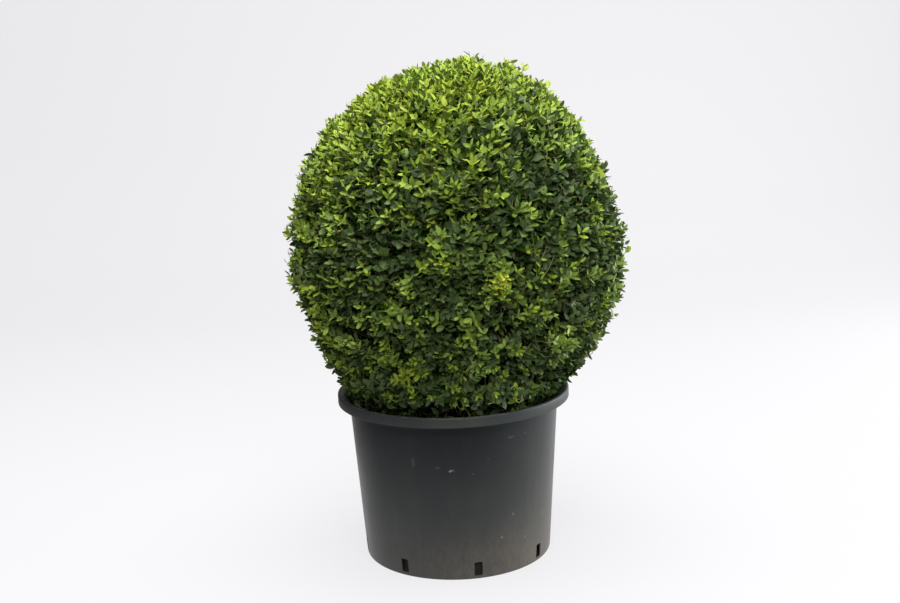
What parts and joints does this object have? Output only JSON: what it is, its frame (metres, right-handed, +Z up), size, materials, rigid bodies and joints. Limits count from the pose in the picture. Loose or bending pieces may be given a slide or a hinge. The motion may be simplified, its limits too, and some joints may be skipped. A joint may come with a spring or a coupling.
{
  "type": "clipped box ball shrub in a nursery pot",
  "caption": "Dense evergreen box shrub clipped to a ball, growing in a round black plastic nursery pot with a rolled rim and drainage slots round its foot.",
  "frame": {"origin": "middle of the pot's flat underside, which stands on the ground", "axes": "+Z up, -Y towards the front view of the picture, +X to the right in that view"},
  "size_m": [0.6969, 0.6979, 1.047],
  "materials": {
    "pot_plastic": "satin",
    "compost": "matte",
    "bark": "matte",
    "leaves": "satin"
  },
  "bodies": {
    "root": {"pot": "pot_plastic", "compost": "compost", "stem": "bark", "foliage": "leaves"}
  },
  "joints": []
}
